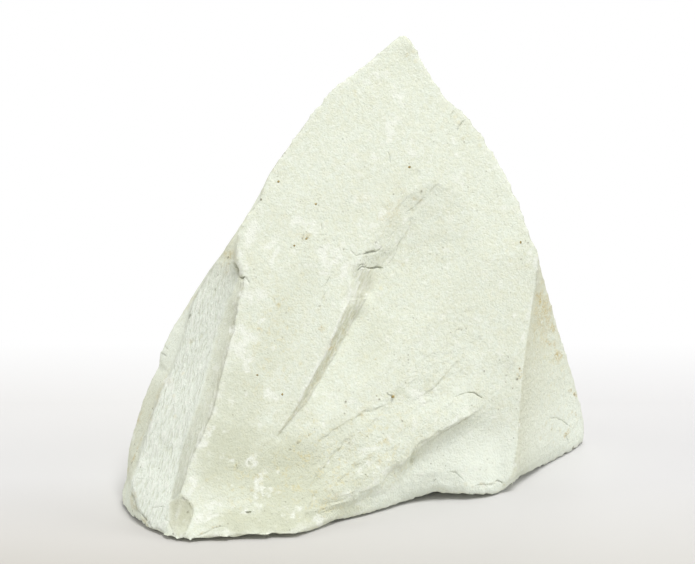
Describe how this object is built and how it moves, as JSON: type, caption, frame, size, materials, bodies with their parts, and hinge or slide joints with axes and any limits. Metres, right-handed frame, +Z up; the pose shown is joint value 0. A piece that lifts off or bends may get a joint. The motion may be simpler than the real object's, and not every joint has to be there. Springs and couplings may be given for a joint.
{
  "type": "chalk lump",
  "caption": "Broken lump of pale natural block chalk with a broad sloping front face, a stepped left side and rust grains set in it, standing on a flat base.",
  "frame": {"origin": "middle of the lump's bounding box, on the plane of the rest face", "axes": "+X to the right along the front, +Y from the front to the back, +Z up out of the rest face"},
  "size_m": [0.097, 0.065, 0.0904],
  "materials": {
    "pale_stone": "matte",
    "rust_grain": "matte"
  },
  "bodies": {
    "root": {"stone_lump": "pale_stone", "rust_grain_1": "rust_grain", "rust_grain_2": "rust_grain", "rust_grain_3": "rust_grain", "rust_grain_4": "rust_grain", "rust_grain_5": "rust_grain", "rust_grain_6": "rust_grain", "rust_grain_7": "rust_grain", "rust_grain_8": "rust_grain", "rust_grain_9": "rust_grain"}
  },
  "joints": []
}
